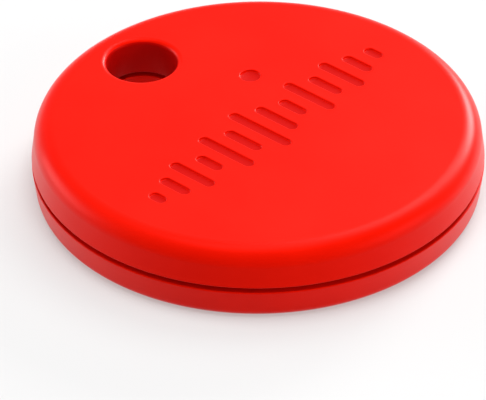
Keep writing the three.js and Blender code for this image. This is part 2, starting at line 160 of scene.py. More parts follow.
# %% [markdown]
# ## Studio
# The floor is a plain pale sheet that also gives off a little light of its own, so it stays near white and
# picks up little of the tag's red. A large box overhead and a key box behind and to the right light the
# face. A bright window stands low behind the tag, where the flat face mirrors it, and gives the face its
# warm sheen. A box at each side opens up the edges. The sky is a weak grey, so the viewer's side of the
# room is dim: that dim side is what draws the deep red band round the front edge.

# %% Lay the floor and hang the lights
def node_material(name):
    """A new material with nodes, and its shader and node tree."""
    material = bpy.data.materials.new(name)
    material.use_nodes = True
    return material, material.node_tree.nodes["Principled BSDF"], material.node_tree


FLOOR_REACH = 3.0  # metres, so that its edge lies far behind the tag
FLOOR_DROP = 0.00002
FLOOR_GREY = 0.38
FLOOR_GLOW = 0.37


def pale_floor():
    material, shader, _ = node_material("pale_floor")
    shader.inputs["Base Color"].default_value = (FLOOR_GREY, FLOOR_GREY, FLOOR_GREY, 1)
    shader.inputs["Roughness"].default_value = 0.9
    shader.inputs["Specular IOR Level"].default_value = 0.1
    shader.inputs["Emission Color"].default_value = (1, 1, 1, 1)
    shader.inputs["Emission Strength"].default_value = FLOOR_GLOW
    mesh = bpy.data.meshes.new("floor")
    half = FLOOR_REACH
    corners = [(-half, -half, 0), (half, -half, 0), (half, half, 0), (-half, half, 0)]
    mesh.from_pydata(corners, [], [(0, 1, 2, 3)])
    floor = bpy.data.objects.new("floor", mesh)
    floor.location.z = -FLOOR_DROP
    mesh.materials.append(material)
    bpy.context.scene.collection.objects.link(floor)


def softbox(name, place, width, depth, radiance):
    """A rectangular area light at a place in the studio, aimed at the tag."""
    data = bpy.data.lights.new(name, "AREA")
    data.shape = "RECTANGLE"
    data.size = width * MM
    data.size_y = depth * MM
    data.energy = radiance * math.pi * data.size * data.size_y
    light = bpy.data.objects.new(name, data)
    light.location = studio(*place)
    light.rotation_mode = "QUATERNION"
    light.rotation_quaternion = aimed(light.location, Vector((0, 0, 0)))
    bpy.context.scene.collection.objects.link(light)


SKY = 0.26
world = bpy.data.worlds.new("studio")
world.use_nodes = True
world.node_tree.nodes["Background"].inputs["Color"].default_value = (1, 1, 1, 1)
world.node_tree.nodes["Background"].inputs["Strength"].default_value = SKY
bpy.context.scene.world = world
bpy.context.scene.view_settings.view_transform = "Standard"

pale_floor()
softbox("overhead", (0, -20, 420), 260, 260, 7.2)
softbox("key_box", (130, 200, 330), 200, 200, 5.0)
softbox("window", (281, 449, 200), 200, 150, 18.0)
softbox("left_box", (-420, 130, 110), 300, 200, 3.8)
softbox("right_box", (390, -170, 130), 300, 200, 3.8)
print("lights:", ", ".join(sorted(light.name for light in bpy.data.lights)))

# %% [markdown]
# ## Shaping by outline and profile
# Nearly every moulded or pressed piece here is an outline, such as a circle or a rounded box, followed by
# a profile: each profile point moves the outline in or out and up or down. A lathe only turns circles;
# this does the same for any outline, so a post, a chip and a sunk bar all get properly rounded edges from
# one helper. An outline is written as a function: given an offset, it returns its points, grown or shrunk
# by that much. A round in a profile is a short run of points on an arc.

# %% Draw outlines and arcs
def polar(radius, bearing, centre=(0, 0)):
    """The point at a distance and a bearing, in degrees, from a centre."""
    a = math.radians(bearing)
    return centre[0] + radius * math.cos(a), centre[1] + radius * math.sin(a)


def circle(centre=(0, 0), steps=64):
    """A circle's points at any radius, so that a profile's offsets are radii."""
    turns = [2 * math.pi * i / steps for i in range(steps)]

    def points(radius):
        x, y = centre
        return [(x + radius * math.cos(a), y + radius * math.sin(a)) for a in turns]

    return points


LEAST_ROUND = 0.004


def rounded_box(width, depth, corner, centre=(0, 0), turn=0, steps=5):
    """A rectangle with round corners, grown or shrunk by an offset."""
    c, s = math.cos(math.radians(turn)), math.sin(math.radians(turn))

    def points(offset):
        made = []
        radius = max(corner + offset, LEAST_ROUND)
        for i in range(4):
            mid = math.pi * (0.25 + i / 2)
            cx = math.copysign(width / 2 + offset - radius, math.cos(mid))
            cy = math.copysign(depth / 2 + offset - radius, math.sin(mid))
            for k in range(steps + 1):
                a = mid - math.pi / 4 + math.pi / 2 * k / steps
                x, y = cx + radius * math.cos(a), cy + radius * math.sin(a)
                made.append((centre[0] + c * x - s * y, centre[1] + s * x + c * y))
        return made

    return points


def capsule(width, length, centre=(0, 0), steps=10):
    """A bar with round ends that runs along Y, grown or shrunk by an offset."""

    def points(offset):
        made = []
        straight = (length - width) / 2
        for side, start in ((1, 0), (-1, math.pi)):
            for k in range(steps + 1):
                a = start + math.pi * k / steps
                x = (width / 2 + offset) * math.cos(a)
                y = side * straight + (width / 2 + offset) * math.sin(a)
                made.append((centre[0] + x, centre[1] + y))
        return made

    return points


def bend(offset, z, radius, start, end, steps=6):
    """Profile points on an arc about (offset, z), from one angle to another, in degrees."""
    angles = [math.radians(start + (end - start) * i / steps) for i in range(steps + 1)]
    return [(offset + radius * math.cos(a), z + radius * math.sin(a)) for a in angles]


print("points round a circle:", len(circle()(1)), "and on an arc:", len(bend(0, 0, 1, 0, 90)))

# %% [markdown]
# ## Walls and flat faces
# The walls are strips of four-sided faces from one ring of points to the next. The flat areas between
# rings are filled with triangles, holes and all, so a face with many sunk shapes in it needs no cutting.
# A large flat face beside a small round shades badly when its normals are simply averaged, so each piece
# weights them by area, and keeps every fold that is sharp enough to be a real edge.

# %% Raise walls and fill faces
def stitch(bm, rings, closed=False, paint=0):
    """Walls from each ring of points to the next."""
    pairs = list(zip(rings, rings[1:]))
    if closed:
        pairs.append((rings[-1], rings[0]))
    for lower, upper in pairs:
        for i, corner in enumerate(lower):
            j = (i + 1) % len(lower)
            face = bm.faces.new((corner, lower[j], upper[j], upper[i]))
            face.material_index = paint


def skin(bm, outline, profile, closed=False, paint=0):
    """Walls that follow a profile round an outline. Returns the first and the last ring."""
    rings = []
    for offset, z in profile:
        rings.append([bm.verts.new((x * MM, y * MM, z * MM)) for x, y in outline(offset)])
    stitch(bm, rings, closed, paint)
    return rings[0], rings[-1]


def fill(bm, *rings, paint=0):
    """A flat face between rings of points: the first is the rim, and the others are holes in it."""
    edges = []
    for ring in rings:
        for i, corner in enumerate(ring):
            pair = (corner, ring[(i + 1) % len(ring)])
            edges.append(bm.edges.get(pair) or bm.edges.new(pair))
    made = bmesh.ops.triangle_fill(bm, use_beauty=True, edges=edges, normal=(0, 0, 1))
    for part in made["geom"]:
        if isinstance(part, bmesh.types.BMFace):
            part.material_index = paint


def block_out(bm, outline, profile, paint=0):
    """A closed solid: walls along a profile, with its two ends filled."""
    first, last = skin(bm, outline, profile, paint=paint)
    fill(bm, first, paint=paint)
    fill(bm, last, paint=paint)


CREASE = math.radians(35)  # a sharper fold than this is shaded as an edge


def piece(name, bm, body, materials, replaces):
    """Turns shaped faces into an object that rides on a body and stands for frame nodes."""
    bmesh.ops.recalc_face_normals(bm, faces=bm.faces)
    mesh = bpy.data.meshes.new(name)
    bm.to_mesh(mesh)
    bm.free()
    mesh.shade_smooth()
    mesh.set_sharp_from_angle(angle=CREASE)
    for material in materials:
        mesh.materials.append(material)
    made = bpy.data.objects.new(name, mesh)
    bpy.context.scene.collection.objects.link(made)
    evened = made.modifiers.new("even_shading", "WEIGHTED_NORMAL")
    evened.keep_sharp = True
    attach(made, body)
    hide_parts(*replaces)
    print(f"{name}: {len(mesh.polygons)} faces, rides on {body}")
    return made


print(f"a fold over {math.degrees(CREASE):.0f} degrees is shaded as an edge")

# %% [markdown]
# ## Red plastic
# The shells are a satin moulding plastic, coloured all through. A spark-eroded mould leaves a very fine
# grain, which breaks up the gloss without being seen as bumps. One flat colour would read as paint, so two
# noises vary it: a fine one for the grain, and a slow one that shifts the colour and the gloss by a hair
# over some millimetres, as flow and handling do. The highlights are tinted red, because under a studio
# this bright, white ones wash the shell out to pink. A second, deeper red is painted shade: it darkens the
# floor of the mark and the wall of the bore, where less light reaches.

# %% Mix the red plastic
def texture(tree, kind, stretch=None, **settings):
    """A texture in the piece's own coordinates, in metres, stretched along an axis if asked."""
    made = tree.nodes.new(kind)
    place = tree.nodes.new("ShaderNodeTexCoord").outputs["Object"]
    if stretch:
        scaled = tree.nodes.new("ShaderNodeMapping")
        scaled.inputs["Scale"].default_value = stretch
        tree.links.new(place, scaled.inputs["Vector"])
        place = scaled.outputs["Vector"]
    tree.links.new(place, made.inputs["Vector"])
    for name, value in settings.items():
        made.inputs[name].default_value = value
    return made


def between(tree, factor, low, high):
    """A number that runs from low to high as a texture runs from 0 to 1."""
    made = tree.nodes.new("ShaderNodeMapRange")
    tree.links.new(factor, made.inputs["Value"])
    made.inputs["To Min"].default_value = low
    made.inputs["To Max"].default_value = high
    return made.outputs["Result"]


def two_colours(tree, factor, first, second, low=0.35, high=0.65):
    """A colour that runs from the first to the second as a texture runs from low to high."""
    made = tree.nodes.new("ShaderNodeValToRGB")
    made.color_ramp.elements[0].position = low
    made.color_ramp.elements[0].color = (*first, 1)
    made.color_ramp.elements[1].position = high
    made.color_ramp.elements[1].color = (*second, 1)
    tree.links.new(factor, made.inputs["Fac"])
    return made.outputs["Color"]


def grain(tree, shader, height, depth):
    """Bumps of a given depth in metres, from a texture's height."""
    made = tree.nodes.new("ShaderNodeBump")
    made.inputs["Distance"].default_value = depth
    made.inputs["Strength"].default_value = 1.0
    tree.links.new(height, made.inputs["Height"])
    tree.links.new(made.outputs["Normal"], shader.inputs["Normal"])


def drifting(tree, shader, light, dark, gloss, scale, detail=3.0, roughness=0.55):
    """Colour and gloss that drift slowly from place to place. Gloss is two roughnesses."""
    slow = texture(tree, "ShaderNodeTexNoise", Scale=scale, Detail=detail, Roughness=roughness)
    colour = two_colours(tree, slow.outputs["Fac"], dark, light)
    tree.links.new(colour, shader.inputs["Base Color"])
    tree.links.new(between(tree, slow.outputs["Fac"], *gloss), shader.inputs["Roughness"])


def red_plastic(name, light, dark):
    material, shader, tree = node_material(name)
    drifting(tree, shader, light, dark, (0.30, 0.38), 140.0)
    spark = texture(tree, "ShaderNodeTexNoise", Scale=5200.0, Detail=2.0, Roughness=0.6)
    grain(tree, shader, spark.outputs["Fac"], 0.004 * MM)
    shader.inputs["IOR"].default_value = 1.46
    shader.inputs["Specular IOR Level"].default_value = 0.4
    shader.inputs["Specular Tint"].default_value = (1.0, 0.02, 0.01, 1)
    return material


RED = red_plastic("red_plastic", (0.76, 0.006, 0.0006), (0.72, 0.005, 0.0004))
# painted shade: a darker copy of the red for the floor of the mark and the wall of the bore
RED_PAINTED_SHADE = red_plastic("red_plastic_painted_shade", (0.50, 0.002, 0.0006), (0.47, 0.0015, 0.0004))
print("finishes:", RED.name, "and", RED_PAINTED_SHADE.name)

# %% [markdown]
# ## Front shell
# The front shell is one moulding: a flat face with a 1.7 mm rounded edge, a skirt that hides the seam and
# a tube round the key-ring hole. The mark sunk into its face is a row of sound-level bars and a dot. A
# mark this shallow only reads if its edges are rounded enough to catch light, so each bar gets a small
# round at the lip and another at its floor. Cutting it out would leave sharp edges, so each bar is a hole
# in the face instead, and its walls run down from there.

# %% Draw the front shell's profiles
MARGIN = 0.05  # a flat ring beside each rounded edge, so its shading doesn't spread over the face
FRONT_EDGE = 1.7
DRAFT = 0.22  # both shells narrow by this much away from the seam
SEAM_ROUND = 0.1
SKIRT_INNER = 17.9
CEILING = TAG_TOP - 1.0
TUBE_RADIUS = 3.6
LIP = 0.5
FINE = 256


def front_outside():
    """The skirt's inner wall, its rim, the outside and the big rounded edge, as one profile of radii."""
    corner, ridge, ridge_low = 0.4, 0.14, 3.3
    inner = SKIRT_INNER
    return [
        *bend(inner - corner, CEILING - corner, corner, 90, 0, 4),
        (inner, ridge_low + 0.25),
        (inner - ridge, ridge_low + 0.17),
        (inner - ridge, ridge_low + 0.08),
        (inner, ridge_low),
        *bend(inner + SEAM_ROUND, SKIRT_RIM + SEAM_ROUND, SEAM_ROUND, 180, 270, 3),
        *bend(TAG_RADIUS - SEAM_ROUND, SKIRT_RIM + SEAM_ROUND, SEAM_ROUND, 270, 360, 4),
        *bend(TAG_RADIUS - DRAFT - FRONT_EDGE, TAG_TOP - FRONT_EDGE, FRONT_EDGE, 0, 90, 14),
        (TAG_RADIUS - DRAFT - FRONT_EDGE - MARGIN, TAG_TOP),
    ]


def hole_tube():
    """The rounded lip on the face, down the bore, and back up outside the tube to the ceiling."""
    foot = 0.15
    return [
        (HOLE_RADIUS + LIP + MARGIN, TAG_TOP),
        *bend(HOLE_RADIUS + LIP, TAG_TOP - LIP, LIP, 90, 180, 8),
        *bend(HOLE_RADIUS + 0.06, SKIRT_RIM + 0.06, 0.06, 180, 270, 3),
        *bend(TUBE_RADIUS - 0.06, SKIRT_RIM + 0.06, 0.06, 270, 360, 3),
        *bend(TUBE_RADIUS + foot, CEILING - foot, foot, 180, 90, 3),
    ]


MARK_DEPTH = 0.18
BAR_WIDTH = 0.95
BAR_PITCH = 2.1
BAR_LENGTHS = (1.6, 3.0, 4.6, 2.6, 5.8, 3.8, 6.6, 4.4, 2.8, 5.4, 3.4, 4.8, 3.0, 1.8)
BARS_AT = -1.15
DOT = (4.3, 4.6)
DOT_RADIUS = 0.87


def sunk_profile(size=0.0):
    """A shallow recess with a flat margin, a round at its lip and another at its floor."""
    lip, cove = 0.07, 0.05
    floor = TAG_TOP - MARK_DEPTH
    return [
        (size + lip + MARGIN, TAG_TOP),
        *bend(size + lip, TAG_TOP - lip, lip, 90, 180, 4),
        *bend(size - cove, floor + cove, cove, 0, -90, 3),
    ]


def sink(bm, outline, size=0.0):
    """Sinks one shape of the mark, and returns its ring on the face."""
    profile = sunk_profile(size)
    on_face, at_floor = skin(bm, outline, profile)
    # the floor of each sunk shape takes the deeper red, as painted shade
    fill(bm, at_floor, paint=1)
    return on_face


print(f"mark: {len(BAR_LENGTHS)} bars and a dot, sunk {MARK_DEPTH} mm; ceiling at {CEILING:.1f} mm")

# %% [markdown]
# ## Inside of the front shell
# Under the face stand a post that presses the switch and three ribs round the battery's foam, and four
# ejector pins have left their round marks. Each of them is one more outline in the ceiling, so the fill
# that closes the ceiling leaves room for it, and nothing has to be joined on.

# %% Close the front shell
RIBS_AT = (30, 150, 270)  # bearings, in degrees, round the cell
RIB_RADIUS = 7.1
EJECTORS_AT = (20, 160, 215, 325)
EJECTOR_RADIUS = 14.6


def front_ceiling(bm):
    """What stands on the inside of the face: the switch post, the pad's ribs and four ejector marks."""
    rings = []
    post_low = heights("switch_plunger")[1] + 0.05
    rings.append(skin(bm, circle(above("switch_plunger"), 40), [
        *bend(1.0 + 0.2, CEILING - 0.2, 0.2, 90, 180, 3),
        (1.0, post_low + 0.2),
        *bend(0.8 - 0.05, post_low + 0.05, 0.05, 0, -90, 2),
    ]))
    for bearing in RIBS_AT:
        at = polar(RIB_RADIUS, bearing, AT_CELL)
        rings.append(skin(bm, rounded_box(0.6, 3.4, 0.25, at, bearing), [
            *bend(0.1, CEILING - 0.1, 0.1, 90, 180, 2),
            *bend(-0.08, CEILING - 0.35 + 0.08, 0.08, 0, -90, 2),
        ]))
    for bearing in EJECTORS_AT:
        at = polar(EJECTOR_RADIUS, bearing, (0, -1))
        rings.append(skin(bm, circle(at, 28), [(0.9, CEILING), (0.88, CEILING + 0.05)]))
    for _, tip in rings:
        fill(bm, tip)
    return [root for root, _ in rings]


def paint_bore_shade(bm):
    """Paints shade down the bore: its wall takes the deeper red, from halfway down its rounded lip."""
    for face in bm.faces:
        centre = face.calc_center_median() / MM
        if math.hypot(centre.x - HOLE[0], centre.y - HOLE[1]) < HOLE_RADIUS + LIP * 0.2:
            face.material_index = 1


def front_shell():
    bm = bmesh.new()
    ceiling_rim, face_rim = skin(bm, circle(steps=FINE), front_outside())
    face_hole, ceiling_hole = skin(bm, circle(HOLE, HOLE_STEPS), hole_tube())
    paint_bore_shade(bm)
    sunk = []
    for i, length in enumerate(BAR_LENGTHS):
        x = (i - (len(BAR_LENGTHS) - 1) / 2) * BAR_PITCH
        sunk.append(sink(bm, capsule(BAR_WIDTH, length, (x, BARS_AT))))
    sunk.append(sink(bm, circle(DOT, 40), DOT_RADIUS))
    fill(bm, face_rim, face_hole, *sunk)
    fill(bm, ceiling_rim, ceiling_hole, *front_ceiling(bm))
    return piece("front_shell", bm, "front", [RED, RED_PAINTED_SHADE], ["front_cover"])


front_shell()

# %% [markdown]
# ## Joining and cutting
# Where shapes run into each other, an outline and a profile can't do it alone. There, closed solids are
# joined or cut by booleans, one step at a time, and each result becomes plain mesh before the next step.
# A boolean can leave slivers and, now and then, a missing face, so the mesh is welded and mended once at
# the end.

# %% Join, cut and mend solids
def loose(name, bm):
    """A helper object for a boolean, which is removed afterwards."""
    bmesh.ops.recalc_face_normals(bm, faces=bm.faces)
    mesh = bpy.data.meshes.new(name)
    bm.to_mesh(mesh)
    bm.free()
    made = bpy.data.objects.new(name, mesh)
    bpy.context.scene.collection.objects.link(made)
    return made


def combine(base, tool, operation):
    """Joins a solid to the base or cuts it out, and removes the tool."""
    step = base.modifiers.new("step", "BOOLEAN")
    step.object = tool
    step.operation = operation
    step.solver = "EXACT"
    graph = bpy.context.evaluated_depsgraph_get()
    result = bpy.data.meshes.new_from_object(base.evaluated_get(graph))
    base.modifiers.clear()
    base.data = result
    bpy.data.objects.remove(tool)


def opened(shape):
    """The helper's mesh, ready to edit. The helper itself is removed."""
    bm = bmesh.new()
    bm.from_mesh(shape.data)
    bpy.data.objects.remove(shape)
    return bm


WELD = 0.002 * MM


def cleaned(shape):
    """The helper's mesh, with the slivers and gaps that a boolean leaves mended."""
    bm = opened(shape)
    bmesh.ops.remove_doubles(bm, verts=bm.verts, dist=WELD)
    bmesh.ops.dissolve_degenerate(bm, dist=WELD, edges=bm.edges)
    gaps = [edge for edge in bm.edges if edge.is_boundary]
    bmesh.ops.holes_fill(bm, edges=gaps)
    print("open edges closed:", len(gaps))
    return bm


def solid_of(outline, profile):
    bm = bmesh.new()
    block_out(bm, outline, profile)
    return loose("tool", bm)


print(f"points within {WELD / MM:.3f} mm are welded after a boolean")

# %% [markdown]
# ## Rear shell
# The rear shell is the tray: a flat back with a 0.8 mm rounded edge, a shoulder at the seam, and an upright
# ring that the front shell's skirt slides over. A thick collar runs up round the key-ring hole and merges
# with that ring. The tray is turned from one profile. The collar, the two stops for the cell and the four
# posts are joined to it, and the hole is bored last, with its rounded lip.

# %% Mould the rear shell
SHOULDER = 2.65
REAR_EDGE = 0.8
FLOOR = 0.8
SPIGOT_OUTER = 17.5
SPIGOT_INNER = 16.8
LEDGE = BOARD_LOW - 0.05
HEAD_LOW = BOARD_TOP + 0.05  # each post's end is melted into a head over the board
COLLAR = (3.75, 4.4)  # inner and outer radius, round the key-ring hole
STOPS_AT = (225, 315)  # bearings of the two walls that hold the cell in place
STOP_RADIUS = 12.1
POSTS = ((14.0, 4.6), (-14.0, 4.6), (13.6, -6.2), (-13.6, -6.2))


def tray_profile():
    """From the middle of the back, round the outside, up the ring and down to the floor inside."""
    ridge_low, ridge = 3.72, 0.22
    return [
        *bend(TAG_RADIUS - DRAFT - REAR_EDGE, REAR_EDGE, REAR_EDGE, 270, 360, 10),
        *bend(TAG_RADIUS - SEAM_ROUND, SHOULDER - SEAM_ROUND, SEAM_ROUND, 0, 90, 4),
        (SPIGOT_OUTER, SHOULDER),
        (SPIGOT_OUTER, ridge_low),
        (SPIGOT_OUTER + ridge, ridge_low + 0.08),
        (SPIGOT_OUTER + ridge, ridge_low + 0.17),
        (SPIGOT_OUTER, ridge_low + 0.33),
        *bend(SPIGOT_OUTER - 0.08, SPIGOT_TOP - 0.08, 0.08, 0, 90, 3),
        *bend(SPIGOT_INNER + 0.08, SPIGOT_TOP - 0.08, 0.08, 90, 180, 3),
        (SPIGOT_INNER, LEDGE),
        (SPIGOT_INNER - 0.9, LEDGE),
        *bend(SPIGOT_INNER - 0.9 - 0.2, FLOOR + 0.2, 0.2, 0, -90, 3),
    ]


def rear_shell():
    shell = solid_of(circle(steps=FINE), tray_profile())
    root = FLOOR - 0.3
    inner, outer = COLLAR
    combine(shell, solid_of(circle(HOLE, HOLE_STEPS), [
        (outer, root), *bend(outer - 0.06, SPIGOT_TOP - 0.06, 0.06, 0, 90, 2),
    ]), "UNION")
    bore = [(inner, SHOULDER), (inner, SPIGOT_TOP + 1)]
    combine(shell, solid_of(circle(HOLE, HOLE_STEPS), bore), "DIFFERENCE")
    for bearing in STOPS_AT:
        at = polar(STOP_RADIUS, bearing, AT_CELL)
        combine(shell, solid_of(rounded_box(0.7, 3.0, 0.2, at, bearing), [
            (0, root), *bend(-0.08, LEDGE - 0.1 - 0.08, 0.08, 0, 90, 2),
        ]), "UNION")
    for post in POSTS:
        combine(shell, solid_of(circle(post, 32), [
            (1.0, root), (1.0, LEDGE), (0.55, LEDGE), (0.55, HEAD_LOW), (0.88, HEAD_LOW),
            *bend(0.95 - 0.1, HEAD_LOW + 0.1, 0.1, 0, 60, 3),
            (0.6, HEAD_LOW + 0.27), (0.32, HEAD_LOW + 0.34), (0.18, HEAD_LOW + 0.31),
        ]), "UNION")
    combine(shell, solid_of(circle(HOLE, HOLE_STEPS), [
        (HOLE_RADIUS + LIP, -1),
        *bend(HOLE_RADIUS + LIP, LIP, LIP, 270, 180, 8),
        (HOLE_RADIUS, SHOULDER + 1),
    ]), "DIFFERENCE")
    return piece("rear_shell", cleaned(shell), "base", [RED], ["rear_cover"])


rear_shell()

# %% [markdown]
# ## One recipe for the inner finishes
# Metals, ceramics and resins differ in colour, gloss and grain, but they vary in the same two ways: a slow
# drift over some millimetres, from handling and from the process, and a fine grain that catches the light.
# So one recipe mixes both, with sizes in millimetres. Stretching the grain along one direction makes the
# fine lines that rolling and brushing leave on sheet metal.

# %% Mix the inner finishes
def finish(name, light, dark, gloss, drift, grain_size, depth, metal=0.0, stretch=None):
    """A drift over some mm, under a grain of a size and depth in mm."""
    material, shader, tree = node_material(name)
    drifting(tree, shader, light, dark, gloss, 1 / (drift * MM), 4.0, 0.6)
    scale = 1 / (grain_size * MM)
    fine = texture(tree, "ShaderNodeTexNoise", stretch, Scale=scale, Detail=2.0, Roughness=0.6)
    grain(tree, shader, fine.outputs["Fac"], depth * MM)
    shader.inputs["Metallic"].default_value = metal
    return material


def woven_board(name, light, dark):
    """Solder mask over glass cloth: the threads show through as a faint square weave."""
    material, shader, tree = node_material(name)
    drifting(tree, shader, light, dark, (0.28, 0.38), 420.0)
    weave = tree.nodes.new("ShaderNodeMath")
    weave.operation = "MULTIPLY"
    for side, direction in enumerate("XY"):
        threads = texture(tree, "ShaderNodeTexWave", Scale=700.0, Distortion=0.6, Detail=1.0)
        threads.bands_direction = direction
        tree.links.new(threads.outputs["Fac"], weave.inputs[side])
    grain(tree, shader, weave.outputs["Value"], 0.004 * MM)
    return material


ROLLED = (1.0, 0.06, 1.0)
SILICONE = finish("silicone", (0.30, 0.016, 0.012), (0.22, 0.011, 0.008), (0.5, 0.62), 3.0, 0.05, 0.002)
FOAM = finish("foam", (0.030, 0.030, 0.032), (0.014, 0.014, 0.015), (0.9, 1.0), 0.6, 0.16, 0.06)
GLUE = finish("glue_film", (0.80, 0.77, 0.68), (0.68, 0.64, 0.54), (0.55, 0.75), 1.5, 0.1, 0.004)
BRASS = finish(
    "brass", (0.80, 0.58, 0.24), (0.66, 0.44, 0.17), (0.22, 0.34), 2.5, 0.3, 0.001, 1.0, ROLLED,
)
SILVERED = finish("silvered", (0.74, 0.73, 0.70), (0.60, 0.59, 0.56), (0.42, 0.55), 1.2, 0.04, 0.002, 1.0)
FIRED = finish("fired_ceramic", (0.56, 0.52, 0.44), (0.46, 0.42, 0.35), (0.5, 0.62), 0.8, 0.05, 0.003)
GOLD = finish("gold_plate", (0.90, 0.64, 0.26), (0.80, 0.54, 0.20), (0.2, 0.3), 0.8, 0.06, 0.001, 1.0)
TIN = finish("tin_solder", (0.72, 0.73, 0.74), (0.55, 0.56, 0.58), (0.22, 0.42), 0.35, 0.08, 0.004, 1.0)
NICKEL = finish("nickel", (0.70, 0.68, 0.63), (0.60, 0.58, 0.53), (0.2, 0.3), 1.5, 0.2, 0.001, 1.0, ROLLED)
STEEL_LIGHT, STEEL_DARK = (0.66, 0.66, 0.66), (0.54, 0.54, 0.55)
CELL_STEEL = finish("cell_steel", STEEL_LIGHT, STEEL_DARK, (0.22, 0.33), 3.5, 0.35, 0.0012, 1.0, ROLLED)
SPRING_LIGHT, SPRING_DARK = (0.60, 0.59, 0.57), (0.48, 0.47, 0.46)
SPRING = finish("spring_steel", SPRING_LIGHT, SPRING_DARK, (0.18, 0.3), 1.0, 0.15, 0.001, 1.0, ROLLED)
NYLON = finish("nylon", (0.035, 0.035, 0.038), (0.024, 0.024, 0.026), (0.45, 0.6), 0.8, 0.06, 0.002)
MOULDED = finish(
    "black_moulding", (0.026, 0.026, 0.028), (0.018, 0.018, 0.019), (0.42, 0.56), 0.9, 0.05, 0.003,
)
RESIN = finish("chip_resin", (0.040, 0.041, 0.044), (0.026, 0.027, 0.029), (0.5, 0.66), 0.7, 0.03, 0.003)
WHITE_CERAMIC = finish(
    "white_ceramic", (0.82, 0.80, 0.74), (0.72, 0.70, 0.64), (0.35, 0.5), 0.9, 0.05, 0.002,
)
FERRITE = finish("ferrite", (0.075, 0.075, 0.080), (0.048, 0.048, 0.052), (0.55, 0.72), 0.7, 0.04, 0.005)
COPPER = finish("copper_wire", (0.86, 0.42, 0.22), (0.70, 0.31, 0.15), (0.2, 0.32), 0.5, 0.05, 0.001, 1.0)
TAN = finish("capacitor_ceramic", (0.42, 0.29, 0.18), (0.32, 0.21, 0.13), (0.4, 0.55), 0.35, 0.03, 0.002)
GLAZE = finish(
    "resistor_glaze", (0.022, 0.022, 0.026), (0.014, 0.014, 0.017), (0.25, 0.4), 0.4, 0.04, 0.001,
)
LITHIUM = finish("lithium", (0.52, 0.53, 0.55), (0.36, 0.37, 0.39), (0.45, 0.65), 1.2, 0.1, 0.006, 1.0)
CATHODE = finish("cathode", (0.030, 0.030, 0.032), (0.016, 0.016, 0.018), (0.8, 0.95), 0.5, 0.08, 0.012)
MASK = woven_board("solder_mask", (0.012, 0.060, 0.036), (0.008, 0.044, 0.026))
MASK_ON_COPPER = woven_board("mask_on_copper", (0.035, 0.150, 0.075), (0.026, 0.120, 0.060))
print("finishes so far:", len(bpy.data.materials))

# %% [markdown]
# ## Silicone seal
# One soft ring lies on the rear shell's upright ring and has an eyelet round the key-ring hole. It keeps
# water out and pushes the front shell back after a press. Its lips are rounded, because a sharp edge would
# tear when it is stripped from the mould. The ring and its eyelet cross, so they are two closed rings
# joined by a boolean. When the cover is pressed the ring flattens, so it squashes with that joint.

# %% Mould the seal
SEAL_LOW, SEAL_HIGH = heights("rim_gasket")
SLACK = 0.05


def ring_solid(outline, profile):
    """A closed ring, for booleans or on its own: its profile ends where it starts."""
    bm = bmesh.new()
    skin(bm, outline, profile, closed=True)
    return loose("ring", bm)


def soft_lip(inner, outer):
    """The seal's section: a flat foot, waisted sides and a round lip on top."""
    foot, crest, waist = 0.05, 0.14, 0.05
    inner += SLACK
    outer -= SLACK
    half_way = (SEAL_LOW + SEAL_HIGH) / 2
    return [
        *bend(outer - foot, SEAL_LOW + foot, foot, -90, 0, 3),
        (outer - waist, half_way),
        *bend(outer - waist - crest, SEAL_HIGH - crest, crest, 0, 90, 5),
        *bend(inner + waist + crest, SEAL_HIGH - crest, crest, 90, 180, 5),
        (inner + waist, half_way),
        *bend(inner + foot, SEAL_LOW + foot, foot, 180, 270, 3),
    ]


def rim_seal():
    seal = ring_solid(circle(steps=FINE), soft_lip(SPIGOT_INNER, SPIGOT_OUTER))
    combine(seal, ring_solid(circle(HOLE, HOLE_STEPS), soft_lip(*COLLAR)), "UNION")
    return piece("rim_seal", cleaned(seal), "seal", [SILICONE], ["rim_gasket"])


seal = rim_seal()
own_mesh(seal)

# %% [markdown]
# ## Foam over the battery
# A disc of open-cell foam is glued inside the front shell and holds the cell down on its contacts without
# rattling. Die-cutting leaves its rim pinched and its free face slightly crowned. The cells of the foam
# are far too small to model, so they are bumps, but the crown and the soft rim are real shape.

# %% Cut the foam pad
def battery_foam():
    low, high = heights("battery_pad")
    radius = half_width("battery_pad")
    pinch, crown, rings = 0.10, 0.05, 9
    belly = [(radius * i / rings, low + crown * (i / rings) ** 2) for i in range(1, rings)]
    rim = bend(radius - pinch, low + crown + pinch, pinch, -90, 0, 4)
    bm = bmesh.new()
    block_out(bm, circle(AT_CELL, 96), [*belly, *rim, (radius - 0.04, high)])
    pad = piece("battery_foam", bm, "front", [FOAM], ["battery_pad"])


battery_foam()

# %% [markdown]
# ## Coin cell
# A coin cell is two pressed cups crimped over a seal: the wide positive can with a plain rolled face, and
# the smaller negative cap inside it. Its look comes from the press marks: a rounded shoulder, a shallow
# ring where the punch stopped, a stamped plus sign, and the crimped lip below. The lithium and the pressed
# cathode inside are only seen if someone cuts it open, but they are pieces too, so they get their own
# shapes and finishes.

# %% Press the coin cell
def plus_sign(reach, width, centre):
    """The outline of a plus sign, grown or shrunk by an offset."""

    def points(offset):
        far, near = reach + offset, width / 2 + offset
        quarter = [(far, -near), (far, near), (near, near)]
        made = []
        for turn in range(4):
            c, s = ((1, 0), (0, 1), (-1, 0), (0, -1))[turn]
            made.extend((centre[0] + c * x - s * y, centre[1] + s * x + c * y) for x, y in quarter)
        return made

    return points


